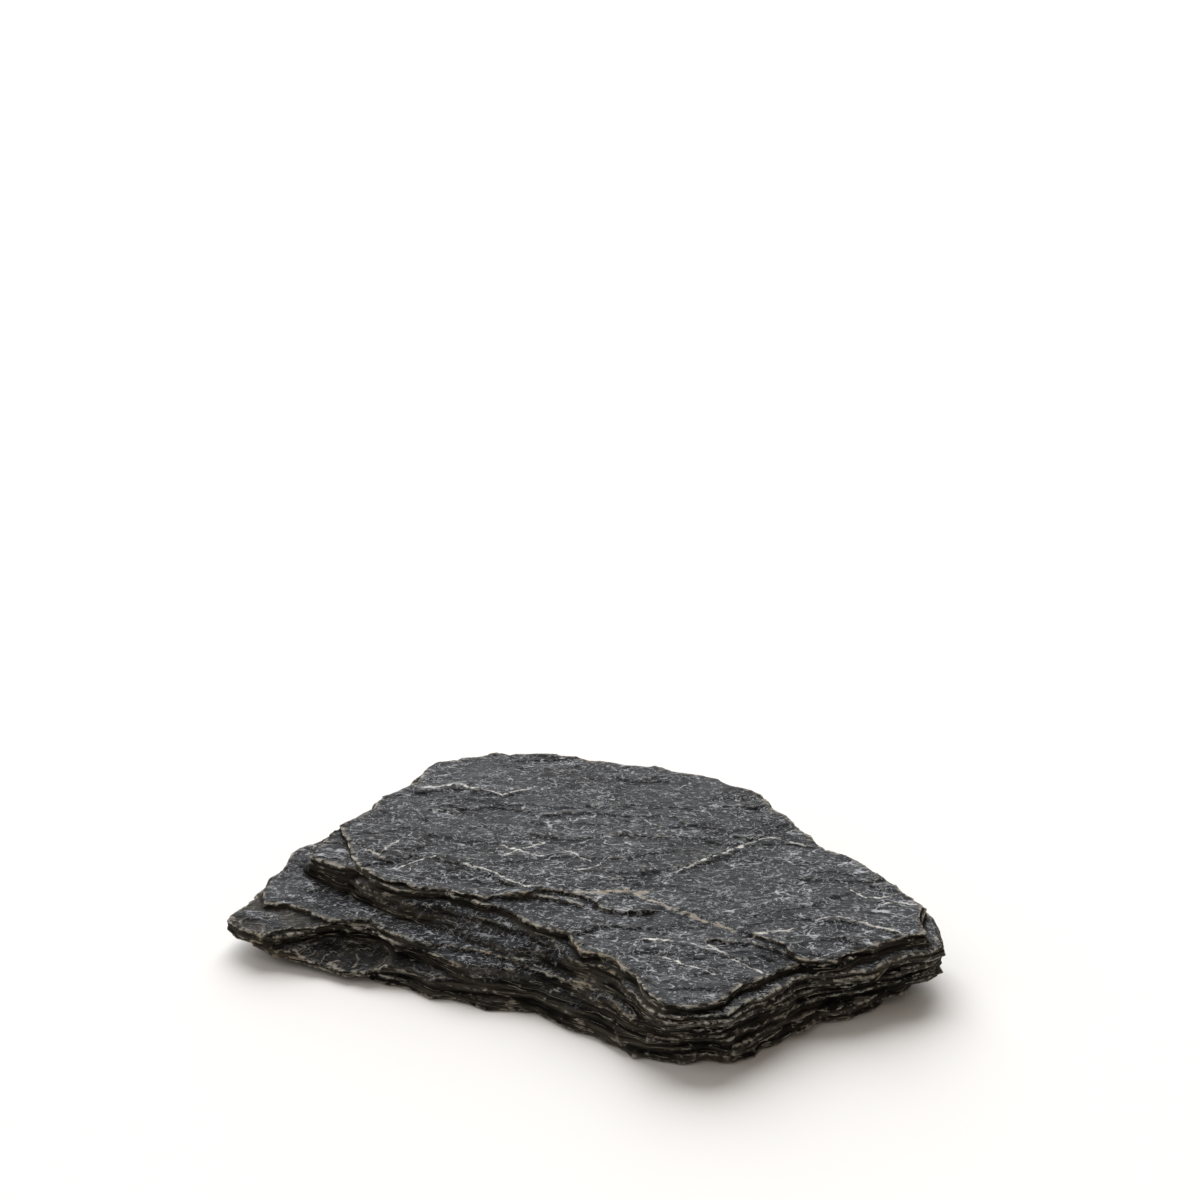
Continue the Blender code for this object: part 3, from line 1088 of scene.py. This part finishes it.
        # The relief: flecks and veins stand up from a mottled face, and the stripes from a broken one
        relief = add_node(tree, "ShaderNodeMath", {"operation": "MULTIPLY_ADD", 1: 0.3},
                          {0: standing, 2: mottle})
        grit = self.noise(tree, spot, (1.5, 1.0, 1.0), 5.0)
        relief = add_node(tree, "ShaderNodeMath", {"operation": "MULTIPLY_ADD", 1: 0.5},
                          {0: grit.outputs["Fac"], 2: relief.outputs[0]})
        height = add_node(tree, "ShaderNodeMix", {"data_type": "FLOAT"},
                          {0: broken, 2: relief.outputs[0], 3: stripes})
        bump = add_node(tree, "ShaderNodeBump", {"Strength": 1.0, "Distance": self.relief * MM},
                        {"Height": height.outputs[0]})
        dullness = add_node(tree, "ShaderNodeMapRange",
                            {"To Min": self.split_roughness, "To Max": self.broken_roughness},
                            {"Value": broken})
        shader = add_node(tree, "ShaderNodeBsdfPrincipled", {"IOR": 1.5, "Specular IOR Level": self.gleam},
                          {"Base Color": colour.outputs[MIXED], "Roughness": dullness.outputs["Result"],
                           "Normal": bump.outputs["Normal"]})
        add_node(tree, "ShaderNodeOutputMaterial", {}, {"Surface": shader.outputs["BSDF"]})
        return made


@dataclass(frozen=True)
class SoftBox:
    """A wide, distant soft box that lights the whole floor alike.

    Attributes:
        name: The light's name.
        place: The direction that it shines from.
        strength: How strong it is, in watts a square metre.
        spread: How wide it looks from the slab, in degrees.
    """

    name: str
    place: tuple[float, float, float]
    strength: float
    spread: float

    def build(self) -> None:
        """Adds the light."""
        data = bpy.data.lights.new(self.name, "SUN")
        data.energy = self.strength
        data.angle = math.radians(self.spread)
        light = bpy.data.objects.new(self.name, data)
        bpy.context.scene.collection.objects.link(light)
        light.rotation_euler = Vector(self.place).to_track_quat("Z", "Y").to_euler()


@dataclass
class Studio:
    """A pale floor, soft light from above and behind, and the camera.

    Attributes:
        lens: The camera's focal length.
        sensor: The width of the camera's sensor.
        pitch: How far the camera looks down, in degrees.
        camera: The camera's place.
        floor_half: Half the width of the floor.
        floor_drop: How far the floor lies under the slab, so that the two don't flicker.
        paper: The floor's colour.
        soft_boxes: The lights.
        air: The colour of the light from all around.
        air_strength: How strong that light is.
    """

    lens: float = 80.0
    sensor: float = 36.0
    pitch: float = 24.0
    camera: tuple[float, float, float] = (6.0, -766.0, 458.0)
    floor_half: float = 8000.0
    floor_drop: float = 0.1
    paper: str = "#f4f4f4"
    soft_boxes: tuple[SoftBox, ...] = (
        SoftBox("soft_box_above", (-0.1, 1.0, 0.68), 4.5, 60.0),
        SoftBox("soft_box_left", (-1.0, 0.1, 0.9), 0.5, 50.0),
    )
    air: str = "#fff1e0"
    air_strength: float = 0.24

    def add_camera(self) -> None:
        """Adds the camera at the photograph's viewing angle."""
        data = bpy.data.cameras.new("camera")
        data.lens = self.lens
        data.sensor_width = self.sensor
        camera = bpy.data.objects.new("camera", data)
        bpy.context.scene.collection.objects.link(camera)
        camera.location = Vector(self.camera) * MM
        camera.rotation_euler = Euler((math.radians(90.0 - self.pitch), 0.0, 0.0))
        bpy.context.scene.camera = camera

    def add_floor(self) -> None:
        """Adds the floor."""
        place = (0.0, 0.0, -self.floor_drop * MM)
        bpy.ops.mesh.primitive_plane_add(size=2 * self.floor_half * MM, location=place)
        floor = bpy.context.active_object
        floor.name = "studio_floor"
        # Matt white paper: a pale ground that takes soft shadows and doesn't gleam
        made = bpy.data.materials.new("matt_white_paper")
        made.use_nodes = True
        shader = made.node_tree.nodes["Principled BSDF"]
        shader.inputs["Base Color"].default_value = linear(self.paper)
        shader.inputs["Roughness"].default_value = 0.95
        floor.data.materials.append(made)

    def build(self) -> None:
        """Builds the studio."""
        self.add_camera()
        self.add_floor()
        for soft_box in self.soft_boxes:
            soft_box.build()
        world = bpy.data.worlds.new("studio_air")
        bpy.context.scene.world = world
        world.use_nodes = True
        background = world.node_tree.nodes["Background"]
        background.inputs["Color"].default_value = linear(self.air)
        background.inputs["Strength"].default_value = self.air_strength
        bpy.context.scene.view_settings.view_transform = "Standard"


def main() -> None:
    """Builds the slab and the studio around it."""
    logging.basicConfig(level=logging.INFO, format="%(message)s")
    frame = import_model()
    slab = SlateSlab().build(frame["nodes"][NODE])
    slab.data.materials.append(RivenSlate().material())
    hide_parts(NODE)
    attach(slab, BODY)
    log.info("%s: %d triangles", slab.name, len(slab.data.polygons))
    Studio().build()


if __name__ == "__main__":
    main()
